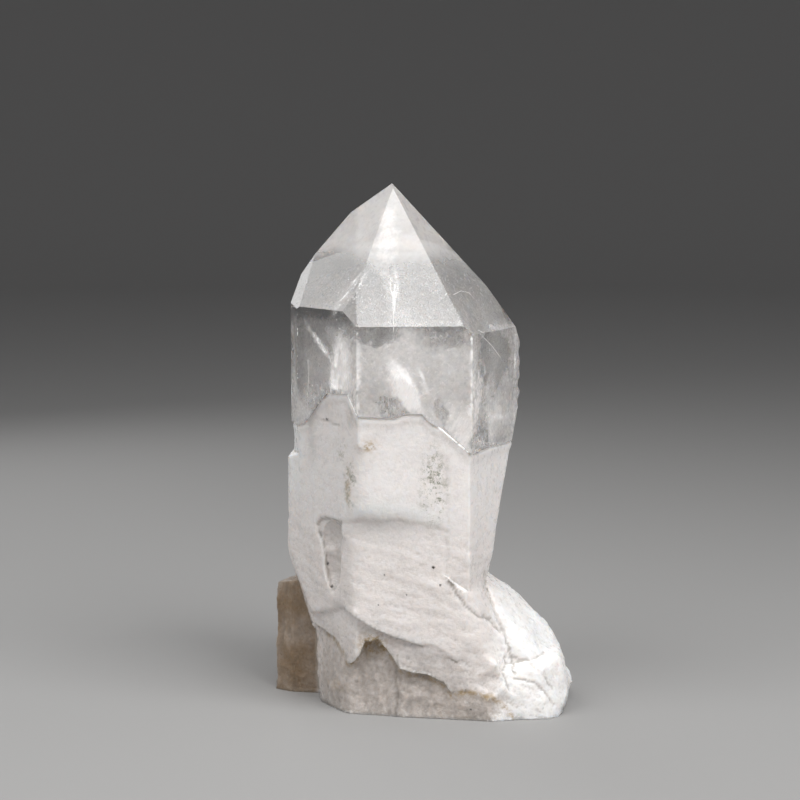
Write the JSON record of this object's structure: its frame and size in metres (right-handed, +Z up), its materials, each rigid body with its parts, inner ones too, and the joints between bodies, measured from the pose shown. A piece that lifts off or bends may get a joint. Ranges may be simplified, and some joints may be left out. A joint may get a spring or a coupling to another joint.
{
  "type": "polished clear quartz point",
  "caption": "Six-sided quartz crystal with a clear polished point above and frosted, broken natural quartz below, that stands on a flat underside as a display piece.",
  "frame": {"origin": "centre of the specimen's plan box, on the flat underside that it stands on", "axes": "+Z up along the crystal towards its point, -Y towards the front, +X towards the side where the white mass flares out"},
  "size_m": [0.1052, 0.074, 0.1788],
  "materials": {
    "quartz": "clear and polished above, frosted and milky natural break below"
  },
  "bodies": {
    "root": {"quartz_point": "quartz"}
  },
  "joints": []
}
